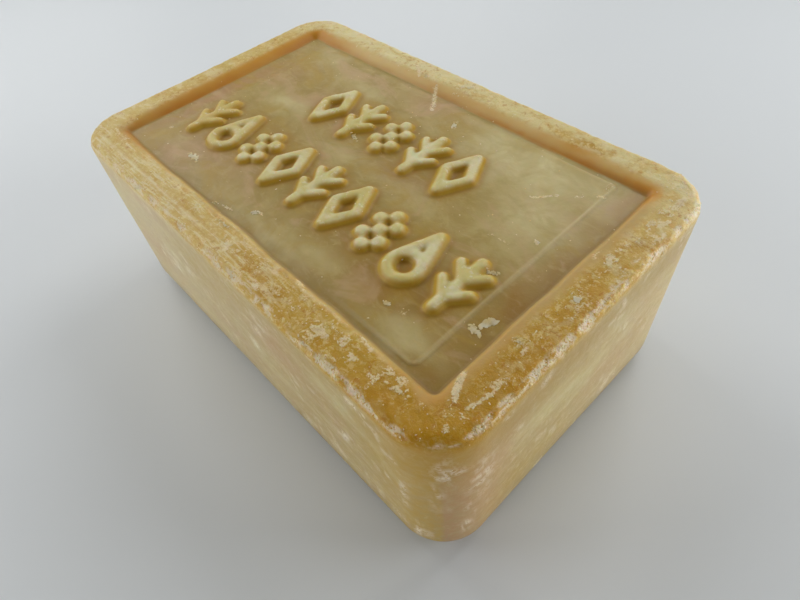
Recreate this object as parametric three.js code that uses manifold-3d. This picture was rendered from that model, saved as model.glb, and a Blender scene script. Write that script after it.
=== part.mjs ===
// A pressed block of curd soap, in millimetres, +Z up, standing on its base.
// The origin is the centre of the base and +X runs along the length.
// The block has a raised rim, a shallow recess with a slightly raised panel,
// and two rows of raised ornaments standing on that panel.
import * as THREE from "three";
import { mergeVertices } from "three/addons/utils/BufferGeometryUtils.js";
import Module from "manifold-3d";

// Block. Length and width are those of the top, and the sides flare towards the base.
const TOP_LENGTH = 93;
const TOP_WIDTH = 58.6;
const HEIGHT = 36.4;
const SIDE_FLARE = 0.75;
const CORNER_RADIUS = 7.8;
const TOP_EDGE_RADIUS = 1.5;
const BASE_EDGE_RADIUS = 4;
const CORNER_SEGMENTS = 6;
const EDGE_SEGMENTS = 3;

// Recess in the top, measured at its floor. Its walls slope up to the flat of the rim.
const RECESS_LENGTH = 78.4;
const RECESS_WIDTH = 44.4;
const RECESS_DEPTH = 1.25;
const RECESS_CORNER = 0.6;
const WALL_SLOPE_WIDTH = 2.8;

// Panel left standing on the recess floor by the inner part of the press die.
const PANEL_LENGTH = 69.6;
const PANEL_WIDTH = 42.6;
const PANEL_RAISE = 0.2;
const PANEL_CORNER = 1;
const PANEL_CHAMFER = 0.3;

// Raised ornaments: strokes with a round back, a little lower than the rim.
const RELIEF_HEIGHT = 1;
const STROKE_WIDTH = 2.4;
const STROKE_ROUNDING = 0.95;
const STROKE_SEGMENTS = 2;
const STROKE_END_SEGMENTS = 5;
const RING_SEGMENTS = 16;
const PETAL_SEGMENTS = 8;
const LEAF_WIDTH = 2.1;
// Where the pairs of leaves leave the stem, as shares of its half length, and how steeply they rise.
const LEAF_FEET = [-0.65, 0.1];
const LEAF_RISE = 1.15;
const ORNAMENT_PITCH = 7.6;
const ORNAMENT_HEIGHT = 12;
const ORNAMENT_WIDTH = 7.2;
const ROSETTE_WIDTH = 7.2;
const ROSETTE_HEIGHT = 10.2;
const PETAL_RADIUS = 1.5;
const UPPER_ROW_Y = 7.7;
const LOWER_ROW_Y = -8.8;
const UPPER_ROW = ["lozenge", "sprig", "rosette", "sprig", "lozenge"];
const LOWER_ROW = ["sprig", "drop", "rosette", "lozenge", "sprig", "lozenge", "rosette", "drop", "sprig"];

const PANEL_TOP = HEIGHT - RECESS_DEPTH + PANEL_RAISE;
// How far a cutting or joining solid runs past the face that it meets.
const OVERRUN = 1;

const wasm = await Module();
wasm.setup();

// Turns a closed three.js geometry into a solid that can be joined and cut.
function solid(geometry) {
  const bare = geometry.clone();
  bare.deleteAttribute("normal");
  bare.deleteAttribute("uv");
  const merged = mergeVertices(bare, 1e-4);
  const mesh = new wasm.Mesh({
    numProp: 3,
    vertProperties: new Float32Array(merged.attributes.position.array),
    triVerts: new Uint32Array(merged.index.array),
  });
  return new wasm.Manifold(mesh);
}

// Turns a solid back into a three.js geometry.
function geometryOf(body) {
  const mesh = body.getMesh();
  const geometry = new THREE.BufferGeometry();
  geometry.setAttribute("position", new THREE.BufferAttribute(mesh.vertProperties, 3));
  geometry.setIndex(new THREE.BufferAttribute(mesh.triVerts, 1));
  geometry.computeVertexNormals();
  return geometry;
}

// A rectangle with round corners, centred on the origin.
function roundedRectangle(length, width, radius) {
  const x = length / 2 - radius;
  const y = width / 2 - radius;
  const shape = new THREE.Shape();
  shape.absarc(x, y, radius, 0, Math.PI / 2);
  shape.absarc(-x, y, radius, Math.PI / 2, Math.PI);
  shape.absarc(-x, -y, radius, Math.PI, Math.PI * 1.5);
  shape.absarc(x, -y, radius, Math.PI * 1.5, Math.PI * 2);
  return shape;
}

// Leans the sides out towards the base, by SIDE_FLARE on each side at z = 0.
function flareSides(geometry) {
  const position = geometry.attributes.position;
  for (let i = 0; i < position.count; i += 1) {
    const drop = 1 - position.getZ(i) / HEIGHT;
    position.setX(i, position.getX(i) * (1 + (2 * SIDE_FLARE * drop) / TOP_LENGTH));
    position.setY(i, position.getY(i) * (1 + (2 * SIDE_FLARE * drop) / TOP_WIDTH));
  }
  return geometry;
}

// A straight-sided block of the given height, with its top and base edges rounded alike.
function roundedBlock(height, edgeRadius) {
  const outline = roundedRectangle(TOP_LENGTH, TOP_WIDTH, CORNER_RADIUS);
  const geometry = new THREE.ExtrudeGeometry(outline, {
    depth: height - 2 * edgeRadius,
    curveSegments: CORNER_SEGMENTS,
    bevelThickness: edgeRadius,
    bevelSize: edgeRadius,
    bevelOffset: -edgeRadius,
    bevelSegments: EDGE_SEGMENTS,
  });
  geometry.translate(0, 0, edgeRadius);
  return geometry;
}

// The top edge is rounded less than the base edge, so the block is what two taller blocks have in common.
function plainBlock() {
  const tall = HEIGHT + 2 * BASE_EDGE_RADIUS;
  const upper = roundedBlock(tall, TOP_EDGE_RADIUS).translate(0, 0, HEIGHT - tall);
  const lower = roundedBlock(tall, BASE_EDGE_RADIUS);
  return solid(flareSides(geometryOf(solid(upper).intersect(solid(lower)))));
}

// The hollow pressed into the top: its floor outline widened by a straight slope.
function recess() {
  const floor = roundedRectangle(RECESS_LENGTH, RECESS_WIDTH, RECESS_CORNER);
  const geometry = new THREE.ExtrudeGeometry(floor, {
    depth: OVERRUN,
    curveSegments: CORNER_SEGMENTS,
    bevelThickness: RECESS_DEPTH,
    bevelSize: WALL_SLOPE_WIDTH,
    bevelSegments: 1,
  });
  geometry.translate(0, 0, HEIGHT);
  return solid(geometry);
}

function panel() {
  const outline = roundedRectangle(PANEL_LENGTH, PANEL_WIDTH, PANEL_CORNER);
  const geometry = new THREE.ExtrudeGeometry(outline, {
    depth: OVERRUN,
    curveSegments: CORNER_SEGMENTS,
    bevelThickness: PANEL_RAISE,
    bevelSize: PANEL_CHAMFER,
    bevelOffset: -PANEL_CHAMFER,
    bevelSegments: 1,
  });
  geometry.translate(0, 0, PANEL_TOP - PANEL_RAISE - OVERRUN);
  return solid(geometry);
}

// Raises an outline into a body with a rounded back. Its foot is at z = 0 after trimming.
function raised(outline, curveSegments) {
  const geometry = new THREE.ExtrudeGeometry(outline, {
    depth: OVERRUN,
    curveSegments,
    bevelThickness: RELIEF_HEIGHT,
    bevelSize: STROKE_ROUNDING,
    bevelOffset: -STROKE_ROUNDING,
    bevelSegments: STROKE_SEGMENTS,
  });
  geometry.translate(0, 0, -OVERRUN);
  return solid(geometry);
}

// Cuts away everything below z = 0.
function trimFoot(body) {
  const below = 2 * (OVERRUN + RELIEF_HEIGHT);
  const box = new THREE.BoxGeometry(2 * ORNAMENT_HEIGHT, 2 * ORNAMENT_HEIGHT, below);
  box.translate(0, 0, -below / 2);
  return body.subtract(solid(box));
}

// A straight stroke with round ends, from one end's centre to the other's.
function bar(x0, y0, x1, y1, width = STROKE_WIDTH) {
  const angle = Math.atan2(y1 - y0, x1 - x0);
  const shape = new THREE.Shape();
  shape.absarc(x1, y1, width / 2, angle - Math.PI / 2, angle + Math.PI / 2);
  shape.absarc(x0, y0, width / 2, angle + Math.PI / 2, angle + Math.PI * 1.5);
  return raised(shape, STROKE_END_SEGMENTS);
}

function joined(bodies) {
  return bodies.reduce((whole, body) => whole.add(body));
}

// A four-sided ring standing on one point, round outside and sharp inside.
function lozenge() {
  const radius = STROKE_WIDTH / 2;
  const x = ORNAMENT_WIDTH / 2 - radius;
  const y = ORNAMENT_HEIGHT / 2 - radius;
  const lean = Math.atan2(x, y);
  const outline = new THREE.Shape();
  outline.absarc(x, 0, radius, -lean, lean);
  outline.absarc(0, y, radius, lean, Math.PI - lean);
  outline.absarc(-x, 0, radius, Math.PI - lean, Math.PI + lean);
  outline.absarc(0, -y, radius, Math.PI + lean, 2 * Math.PI - lean);
  const holeX = x - radius / Math.cos(lean);
  const holeY = y - radius / Math.sin(lean);
  const corners = [[holeX, 0], [0, holeY], [-holeX, 0], [0, -holeY]];
  outline.holes.push(new THREE.Path(corners.map(([px, py]) => new THREE.Vector2(px, py))));
  return raised(outline, STROKE_END_SEGMENTS);
}

// An upright stem with two pairs of leaves.
function sprig() {
  const stemEnd = (ORNAMENT_HEIGHT - STROKE_WIDTH) / 2;
  const reach = (ORNAMENT_WIDTH - STROKE_WIDTH) / 2;
  const leaves = [];
  for (const share of LEAF_FEET) {
    const foot = share * stemEnd;
    for (const side of [-1, 1]) {
      leaves.push(bar(0, foot, side * reach, foot + LEAF_RISE * reach, LEAF_WIDTH));
    }
  }
  return joined([bar(0, -stemEnd, 0, stemEnd), ...leaves]);
}

function dot(x, y, radius) {
  const shape = new THREE.Shape();
  shape.absarc(x, y, radius, 0, 2 * Math.PI);
  return raised(shape, PETAL_SEGMENTS);
}

// Six round petals about a middle.
function rosette() {
  const bodies = [dot(0, 0, PETAL_RADIUS)];
  for (let i = 0; i < 6; i += 1) {
    const angle = (i * Math.PI) / 3;
    const x = (ROSETTE_WIDTH / 2 - PETAL_RADIUS) * Math.sin(angle);
    const y = (ROSETTE_HEIGHT / 2 - PETAL_RADIUS) * Math.cos(angle);
    bodies.push(dot(x, y, PETAL_RADIUS));
  }
  return joined(bodies);
}

// The outline of a falling drop: a round ring with two strokes that meet in a point above it.
function drop() {
  const radius = (ORNAMENT_WIDTH - STROKE_WIDTH) / 2;
  const centreY = (ORNAMENT_WIDTH - ORNAMENT_HEIGHT) / 2;
  const tipY = (ORNAMENT_HEIGHT - STROKE_WIDTH) / 2;
  const lean = Math.asin(radius / (tipY - centreY));
  const ring = new THREE.Shape();
  ring.absarc(0, centreY, radius + STROKE_WIDTH / 2, 0, 2 * Math.PI);
  const hole = new THREE.Path();
  hole.absarc(0, centreY, radius - STROKE_WIDTH / 2, 0, 2 * Math.PI);
  ring.holes.push(hole);
  const sides = [-1, 1].map((side) => {
    const x = side * radius * Math.cos(lean);
    return bar(x, centreY + radius * Math.sin(lean), 0, tipY);
  });
  return joined([raised(ring, RING_SEGMENTS), ...sides]);
}

const ORNAMENTS = { lozenge, sprig, rosette, drop };

const soapMaterial = new THREE.MeshStandardMaterial({ color: 0xc9ac6e, roughness: 0.5, metalness: 0 });
const reliefMaterial = new THREE.MeshStandardMaterial({ color: 0xcdbd82, roughness: 0.45, metalness: 0 });

function soapBlock() {
  const body = plainBlock().subtract(recess()).add(panel());
  const mesh = new THREE.Mesh(geometryOf(body), soapMaterial);
  mesh.name = "soap_block";
  return mesh;
}

// One row of ornaments, evenly spaced about the middle of the panel.
function ornamentRow(rowName, kinds, y) {
  return kinds.map((kind, index) => {
    const mesh = new THREE.Mesh(geometryOf(trimFoot(ORNAMENTS[kind]())), reliefMaterial);
    mesh.name = `relief_${rowName}_${index + 1}_${kind}`;
    mesh.position.set((index - (kinds.length - 1) / 2) * ORNAMENT_PITCH, y, PANEL_TOP);
    return mesh;
  });
}

const group = new THREE.Group();
group.add(soapBlock());
group.add(...ornamentRow("upper", UPPER_ROW, UPPER_ROW_Y));
group.add(...ornamentRow("lower", LOWER_ROW, LOWER_ROW_Y));

export default group;
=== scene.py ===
"""The looks of a pressed block of curd soap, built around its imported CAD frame."""

import math
import random

import bmesh
import bpy
import numpy as np
from mathutils import Euler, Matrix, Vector, noise
from mathutils.bvhtree import BVHTree


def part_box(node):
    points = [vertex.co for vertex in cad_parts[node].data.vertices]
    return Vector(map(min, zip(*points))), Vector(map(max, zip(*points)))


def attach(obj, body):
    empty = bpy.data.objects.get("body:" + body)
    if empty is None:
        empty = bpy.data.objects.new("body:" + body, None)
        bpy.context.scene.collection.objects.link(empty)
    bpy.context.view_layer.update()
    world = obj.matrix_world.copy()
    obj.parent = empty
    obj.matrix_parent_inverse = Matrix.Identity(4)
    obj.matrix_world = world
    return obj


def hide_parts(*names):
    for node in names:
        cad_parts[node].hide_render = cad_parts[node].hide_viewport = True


MM = 0.001

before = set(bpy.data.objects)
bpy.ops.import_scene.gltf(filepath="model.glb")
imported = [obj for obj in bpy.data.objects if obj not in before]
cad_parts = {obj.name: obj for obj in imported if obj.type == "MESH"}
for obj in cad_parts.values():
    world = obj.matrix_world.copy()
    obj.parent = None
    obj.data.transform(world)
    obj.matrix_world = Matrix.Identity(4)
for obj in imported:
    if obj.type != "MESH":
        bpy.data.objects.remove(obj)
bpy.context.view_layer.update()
block_low, block_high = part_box("soap_block")
RELIEF_NODES = sorted(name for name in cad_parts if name.startswith("relief_"))

# Block, as in the CAD: the sides flare from the top outline to the base outline, and are widest where
# the rounding of the base edge begins.
SIDE_FLARE = 0.75 * MM
CORNER_RADIUS = 7.8 * MM
EDGE_RADIUS = 1.5 * MM
BASE_EDGE_RADIUS = 4 * MM
HEIGHT = block_high.z
WIDEST_FLARE = SIDE_FLARE * (1 - BASE_EDGE_RADIUS / HEIGHT)
HALF_LENGTH = block_high.x - WIDEST_FLARE
HALF_WIDTH = block_high.y - WIDEST_FLARE

# Recess and panel, as in the CAD.
RECESS_HALF_LENGTH = 39.2 * MM
RECESS_HALF_WIDTH = 22.2 * MM
RECESS_DEPTH = 1.25 * MM
RECESS_CORNER = 0.6 * MM
WALL_SLOPE_WIDTH = 2.8 * MM
PANEL_HALF_LENGTH = 34.8 * MM
PANEL_HALF_WIDTH = 21.3 * MM
PANEL_RAISE = 0.2 * MM
PANEL_CORNER = 1 * MM
LIP_HEIGHT = 0.04 * MM
LIP_WIDTH = 0.2 * MM
RELIEF_HEIGHT = 1 * MM

# Two fine ridges that the CAD doesn't have. RIDGE_PLACE and RIDGE_WIDTH are shares of the wall's slope.
RIDGE_HEIGHT = 0.05 * MM
RIDGE_PLACE = 0.36
RIDGE_WIDTH = 0.08
RIM_RIDGE_Y = -26.5 * MM
RIM_RIDGE_WIDTH = 0.3 * MM

# The panel's outline fades from crisp to soft between these places along the length.
PANEL_CRISP_X = 31 * MM
PANEL_SOFT_X = 14 * MM
PANEL_CRISP_STEP = 0.2 * MM
PANEL_SOFT_STEP = 1.3 * MM

# Skin mesh: cells across the top, rings down the sides. The grid under the base has fewer and larger
# cells, and stops BASE_GAP inside the last ring. BASE_COARSENESS divides both counts of cells.
TOP_CELLS_X = 282
TOP_CELLS_Y = 177
BASE_COARSENESS = 3
BASE_GAP = 0.6 * MM
EDGE_RINGS = 8
BASE_EDGE_RINGS = 9
WALL_RINGS = 27
WALL_RING_SPREAD = 1.35

# The corner that stands nearest the camera, and the one across the top from it.
NEAR_CORNER = (HALF_LENGTH, -HALF_WIDTH, HEIGHT)
BACK_LEFT_CORNER = (-HALF_LENGTH, HALF_WIDTH, HEIGHT)

# Camera, found from the outline of the block. The turn is in degrees about X, Y and Z.
CAMERA_PLACE = Vector((61.3, -42.6, 90.1)) * MM
CAMERA_TURN = (38.60, 4.69, 46.31)
CAMERA_LENS = 24.5
SENSOR_WIDTH = 36

NOISE_SHIFT = Vector((13.7, 5.1, 9.3))
NOISE_FALLOFF = 1.0
NOISE_LACUNARITY = 2.0

rng = random.Random(7)


# ---------------------------------------------------------------- shape fields

def smooth(value, low, high):
    """0 below low, 1 above high, with a smooth change between them."""
    t = np.clip((value - low) / (high - low), 0, 1)
    return t * t * (3 - 2 * t)


def outline_distance(x, y, half_x, half_y, radius):
    """Distance outside a rectangle with round corners; negative inside it."""
    qx = np.abs(x) - (half_x - radius)
    qy = np.abs(y) - (half_y - radius)
    outside = np.hypot(np.maximum(qx, 0), np.maximum(qy, 0))
    return outside + np.minimum(np.maximum(qx, qy), 0) - radius


def clouds(points, size, octaves, seed):
    """Fractal noise at each point, about -1 to 1, with lumps of the given size."""
    shift = NOISE_SHIFT * (seed + 1)
    return np.array([noise.fractal(Vector(place) + shift, NOISE_FALLOFF, NOISE_LACUNARITY, octaves)
                     for place in points / size])


class Relief:
    """Height of the raised ornaments above the panel, read from their CAD nodes."""

    STEP = 0.1 * MM
    MARGIN = 1.5 * MM
    BLUR = 0.2 * MM
    WIDE_BLUR = 4 * BLUR

    def __init__(self):
        boxes = [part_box(name) for name in RELIEF_NODES]
        self.x0 = min(low.x for low, _ in boxes) - self.MARGIN
        self.y0 = min(low.y for low, _ in boxes) - self.MARGIN
        self.nx = int((max(high.x for _, high in boxes) + self.MARGIN - self.x0) / self.STEP)
        self.ny = int((max(high.y for _, high in boxes) + self.MARGIN - self.y0) / self.STEP)
        self.height = np.zeros((self.nx, self.ny))
        for name, (low, high) in zip(RELIEF_NODES, boxes):
            self.scan(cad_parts[name], low, high)
        self.crisp = self.blurred(self.BLUR)
        self.wide = self.blurred(self.WIDE_BLUR)
        self.slope = np.hypot(*np.gradient(self.crisp, self.STEP))

    def scan(self, node, low, high):
        """Reads one ornament's height from straight above, over its own box."""
        mesh = node.data
        tree = BVHTree.FromPolygons([v.co for v in mesh.vertices], [p.vertices for p in mesh.polygons])
        down = Vector((0, 0, -1))
        for i in range(int((low.x - self.x0) / self.STEP), int((high.x - self.x0) / self.STEP) + 2):
            for j in range(int((low.y - self.y0) / self.STEP), int((high.y - self.y0) / self.STEP) + 2):
                start = Vector((self.x0 + i * self.STEP, self.y0 + j * self.STEP, 2 * HEIGHT))
                hit = tree.ray_cast(start, down)[0]
                if hit is not None:
                    self.height[i, j] = hit.z - low.z

    def blurred(self, width):
        """The height raster under a round soft brush of the given width."""
        reach = int(3 * width / self.STEP)
        kernel = np.exp(-0.5 * (np.arange(-reach, reach + 1) * self.STEP / width) ** 2)
        kernel /= kernel.sum()
        rows = np.apply_along_axis(np.convolve, 0, self.height, kernel, "same")
        return np.apply_along_axis(np.convolve, 1, rows, kernel, "same")

    def sample(self, raster, x, y):
        """The raster's value at each place, read between its cells."""
        u = np.clip((x - self.x0) / self.STEP, 0, self.nx - 1.001)
        v = np.clip((y - self.y0) / self.STEP, 0, self.ny - 1.001)
        i, j = u.astype(int), v.astype(int)
        fu, fv = u - i, v - j
        low = raster[i, j] * (1 - fu) + raster[i + 1, j] * fu
        high = raster[i, j + 1] * (1 - fu) + raster[i + 1, j + 1] * fu
        return low * (1 - fv) + high * fv


# ---------------------------------------------------------------- skin mesh

def round_corners(x, y, half_x, half_y, radius):
    """Bends a rectangular grid so that its corners follow a round corner."""
    cx, cy = half_x - radius, half_y - radius
    u = np.maximum(np.abs(x) - cx, 0) / radius
    v = np.maximum(np.abs(y) - cy, 0) / radius
    corner = (u > 0) & (v > 0)
    new_u = np.where(corner, u * np.sqrt(1 - v * v / 2), u)
    new_v = np.where(corner, v * np.sqrt(1 - u * u / 2), v)
    new_x = np.where(u > 0, np.sign(x) * (cx + new_u * radius), x)
    new_y = np.where(v > 0, np.sign(y) * (cy + new_v * radius), y)
    return new_x, new_y


def rim_loop(cells_x, cells_y, step=1):
    """Grid positions round the edge of a grid of cells, anticlockwise from above."""
    loop = [(i, 0) for i in range(0, cells_x, step)]
    loop += [(cells_x, j) for j in range(0, cells_y, step)]
    loop += [(i, cells_y) for i in range(cells_x, 0, -step)]
    loop += [(0, j) for j in range(cells_y, 0, -step)]
    return loop


class Skin:
    """Points, outward directions and faces of the block's smooth outer surface."""

    def __init__(self):
        self.points = []
        self.normals = []
        self.faces = []
        top = self.grid(-EDGE_RADIUS, HEIGHT, 1, 1)
        self.top_count = len(self.points)
        loop = rim_loop(TOP_CELLS_X, TOP_CELLS_Y)
        last = self.sides([top[ij] for ij in loop])
        base = self.grid(SIDE_FLARE - BASE_EDGE_RADIUS - BASE_GAP, 0, -1, BASE_COARSENESS)
        self.stitch(last, [base[ij] for ij in rim_loop(TOP_CELLS_X, TOP_CELLS_Y, BASE_COARSENESS)])

    def grid(self, offset, z, facing, step):
        """A flat grid whose outline is the top's, moved out by the offset.

        Returns the point number at each grid position."""
        half_x, half_y, radius = HALF_LENGTH + offset, HALF_WIDTH + offset, CORNER_RADIUS + offset
        numbers = {}
        for i in range(0, TOP_CELLS_X + 1, step):
            for j in range(0, TOP_CELLS_Y + 1, step):
                numbers[i, j] = len(self.points)
                flat_x = half_x * (2 * i / TOP_CELLS_X - 1)
                flat_y = half_y * (2 * j / TOP_CELLS_Y - 1)
                self.points.append((flat_x, flat_y, z))
                self.normals.append((0, 0, facing))
        flat = np.array(self.points[numbers[0, 0]:])
        x, y = round_corners(flat[:, 0], flat[:, 1], half_x, half_y, radius)
        self.points[numbers[0, 0]:] = np.stack([x, y, flat[:, 2]], axis=1).tolist()
        for i in range(0, TOP_CELLS_X, step):
            for j in range(0, TOP_CELLS_Y, step):
                corners = [numbers[i, j], numbers[i + step, j]]
                corners += [numbers[i + step, j + step], numbers[i, j + step]]
                self.faces.append(corners[::facing])
        return numbers

    def sides(self, edge):
        """Rings from the edge of the top, over the rounding, down the wall and under it."""
        start = np.array([self.points[n] for n in edge])
        cx = HALF_LENGTH - CORNER_RADIUS
        cy = HALF_WIDTH - CORNER_RADIUS
        out = start[:, :2] - np.clip(start[:, :2], (-cx, -cy), (cx, cy))
        out /= np.linalg.norm(out, axis=1, keepdims=True)
        previous = edge
        for offset, z, tilt in self.ring_path():
            ring = []
            flare = SIDE_FLARE * (1 - z / HEIGHT)
            for (x, y), (nx, ny) in zip(start[:, :2], out):
                ring.append(len(self.points))
                self.points.append((x + nx * (offset + flare), y + ny * (offset + flare), z))
                self.normals.append((nx * math.cos(tilt), ny * math.cos(tilt), math.sin(tilt)))
            count = len(ring)
            for k in range(count):
                after = (k + 1) % count
                self.faces.append([previous[k], ring[k], ring[after], previous[after]])
            previous = ring
        return previous

    def ring_path(self):
        """Offset, height and upward tilt of each ring. Rings lie closer near the top edge."""
        path = []
        for k in range(1, EDGE_RINGS + 1):
            angle = math.pi / 2 * k / EDGE_RINGS
            path.append((EDGE_RADIUS * math.sin(angle), HEIGHT - EDGE_RADIUS * (1 - math.cos(angle)),
                         math.pi / 2 - angle))
        for k in range(1, WALL_RINGS):
            t = (k / WALL_RINGS) ** WALL_RING_SPREAD
            drop = t * (HEIGHT - EDGE_RADIUS - BASE_EDGE_RADIUS)
            path.append((EDGE_RADIUS, HEIGHT - EDGE_RADIUS - drop, 0))
        for k in range(BASE_EDGE_RINGS + 1):
            angle = math.pi / 2 * k / BASE_EDGE_RINGS
            inset = BASE_EDGE_RADIUS * (1 - math.cos(angle))
            path.append((EDGE_RADIUS - inset, BASE_EDGE_RADIUS * (1 - math.sin(angle)), -angle))
        return path

    def stitch(self, fine, coarse):
        """Joins a ring to a ring with BASE_COARSENESS times fewer points."""
        count = len(coarse)
        for k in range(count):
            here, after = coarse[k], coarse[(k + 1) % count]
            span = [fine[(k * BASE_COARSENESS + s) % len(fine)] for s in range(BASE_COARSENESS + 1)]
            middle = BASE_COARSENESS // 2 + 1
            for s in range(BASE_COARSENESS):
                self.faces.append([span[s], here if s < middle else after, span[s + 1]])
            self.faces.append([span[middle], here, after])


def near_side(x, y):
    """1 along the near long side and the right end of the recess, 0 along the far side and the left end."""
    return smooth(x / HALF_LENGTH - y / HALF_WIDTH, -0.35, 0.35)


def up_the_wall(x, y, wobble):
    """0 at the foot of the recess wall and 1 where it meets the rim; negative on the recess floor."""
    from_floor = outline_distance(x, y, RECESS_HALF_LENGTH, RECESS_HALF_WIDTH, RECESS_CORNER)
    return (from_floor + wobble) / WALL_SLOPE_WIDTH


def panel_crispness(x):
    """How sharp the panel's outline still is: it shows at the right end and has faded elsewhere."""
    return smooth(x, PANEL_SOFT_X, PANEL_CRISP_X)


def outside_panel(x, y, wobble):
    """Distance outside the panel's slightly uneven outline; negative on the panel."""
    even = outline_distance(x, y, PANEL_HALF_LENGTH, PANEL_HALF_WIDTH, PANEL_CORNER)
    return even + 0.3 * wobble


def panel_lip(x, from_panel):
    """The fine raised line just inside the panel's outline, 0 to 1, where the outline is crisp."""
    return panel_crispness(x) * np.exp(-((from_panel + LIP_WIDTH) / LIP_WIDTH) ** 2)


def ridge(across, x, y):
    """A fine ridge along the near wall, and one along the left half of the near rim, 0 to 1."""
    on_wall = np.exp(-((across - RIDGE_PLACE) / RIDGE_WIDTH) ** 2) * near_side(x, y)
    on_wall = on_wall * smooth(-x, -36 * MM, -30 * MM) * smooth(-y, 15 * MM, 20 * MM)
    on_rim = np.exp(-((y - RIM_RIDGE_Y) / RIM_RIDGE_WIDTH) ** 2) * smooth(-x, -6 * MM, 6 * MM)
    return np.maximum(on_wall, on_rim * smooth(x, -43 * MM, -38 * MM))


def profile(x, y, wobble):
    """Drop of the top surface below the rim, before wear: recess wall, floor and panel."""
    across = up_the_wall(x, y, wobble)
    t = np.clip(across, 0, 1)
    slope = 1 - (1 - t) ** 2
    stepped = 0.62 * smooth(t, -0.02, 0.3) + 0.38 * slope
    rise = slope + (stepped - slope) * near_side(x, y)
    from_panel = outside_panel(x, y, wobble)
    step_width = PANEL_CRISP_STEP + PANEL_SOFT_STEP * (1 - panel_crispness(x))
    panel = smooth(-from_panel / step_width, -0.4, 1) * PANEL_RAISE
    lip = LIP_HEIGHT * panel_lip(x, from_panel)
    return -RECESS_DEPTH * (1 - rise) + panel + lip + RIDGE_HEIGHT * ridge(across, x, y)


# ---------------------------------------------------------------- soap

# Places on the top where the soap is tinted, in millimetres: x, y, reach along x, reach along y, amount.
# The two large pale clouds at the back right of the panel are painted sheen.
PALE_AND_SHEEN_CLOUDS = (
    (22, 17, 15, 7, 1.0), (30, 9, 7, 8, 0.8), (12, -0.5, 12, 2.2, 0.3), (4, -20.5, 9, 1.6, 0.5),
    (-24, 3, 6, 2.6, 0.7), (-15, 15, 7, 2, 0.5), (-4, -1, 5, 2, 0.5), (31, -19, 4, 2.4, 0.7),
    (-30, 18, 5, 3, 0.4), (10, -18, 7, 2, 0.4),
)
PINK_CLOUDS = (
    (-37, -4, 2, 17, 1.0), (-12, 7, 9, 4, 0.6), (-22, -15, 10, 4, 0.6), (8, 2, 7, 3, 0.5),
    (38, 18, 2, 5, 1.0), (0, 20, 6, 3, 0.7), (-33, 10, 5, 5, 0.5), (-28, -20, 8, 2, 0.5),
)
BROWN_CLOUDS = (
    (38.6, 0, 1.6, 22, 1.0), (24, -15, 13, 4, 0.9), (11, -12, 8, 4, 0.5), (37.5, -8, 3, 12, 1.0),
    (38, 6, 3, 9, 0.9), (36, -21, 5, 2, 0.8), (-18, -4, 8, 2, 0.4), (15, -21, 9, 1, 0.5),
)
AMBER_SPOTS = (
    (44, -25, 6, 6, 1.0), (38, -27, 5, 2.4, 0.9), (8, -26, 2.8, 1.8, 0.9), (14, -27, 3, 1.8, 0.8),
    (24, -27, 7, 1.8, 0.7), (43.8, -13, 3, 9, 1.0), (43.8, -2, 2.6, 6, 1.0), (43, 6, 2, 5, 0.7),
    (43, 12, 2.2, 3, 0.6), (45, 7, 1.2, 2, 0.9), (45.2, 14, 1, 2, 1.0), (32, 25.5, 9, 1.6, 0.35),
    (37, 22, 5, 1.8, 1.0), (39.5, 19, 1, 4, 0.9), (26, 24.6, 4, 1.6, 1.0), (18, 22.3, 18, 0.6, 0.6),
    (22, 25.2, 4, 1.4, 0.6), (5, 24.2, 5, 1.0, 0.4), (-8, 24.2, 5, 1.0, 0.3),
    (-40.5, 23.5, 3.5, 4, 0.6), (-42.4, -2, 1.4, 9, 0.6), (-42.2, 9, 1.4, 9, 0.5),
    (-13, -27, 8, 1.4, 0.35), (-30, -27.5, 8, 1.4, 0.3),
)
BLOOM_SPOTS = (
    (34.5, -24.6, 2.4, 1.2, 1.0), (38, -24.6, 1.4, 0.7, 0.7), (29, -25.6, 3, 1.5, 0.9),
    (23, -26, 2.4, 1.4, 0.9), (17, -25.5, 1.6, 1.2, 0.5), (2.5, -25, 2, 1.2, 0.7),
    (-8, -24.4, 3, 0.8, 0.4), (44, 17.5, 1.5, 4, 1.0), (42, 7.6, 2.2, 1.2, 1.0),
    (44, 5.5, 1.4, 2, 0.8), (41.5, 10, 1.5, 1.5, 0.6), (43.4, -1, 1, 1, 0.6),
    (42.5, -10.8, 1.2, 0.8, 0.7), (43.6, -16.5, 1, 2, 0.6), (43.6, -22.8, 0.7, 0.8, 0.6),
    (44, 22, 1.8, 4, 1.0), (42.5, 25.5, 3, 1.6, 0.7), (0, 26, 3, 2, 0.8), (-8, 25, 2, 1.6, 0.6),
    (8, 25.8, 3, 1, 0.4), (-17, -26.2, 1.2, 0.7, 0.7), (-27, -25, 1.6, 0.6, 0.4),
    (31, 27.4, 3, 0.7, 0.5), (40, 27, 3, 0.8, 0.6), (28, -16.8, 1, 0.7, 0.5),
)

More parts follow.
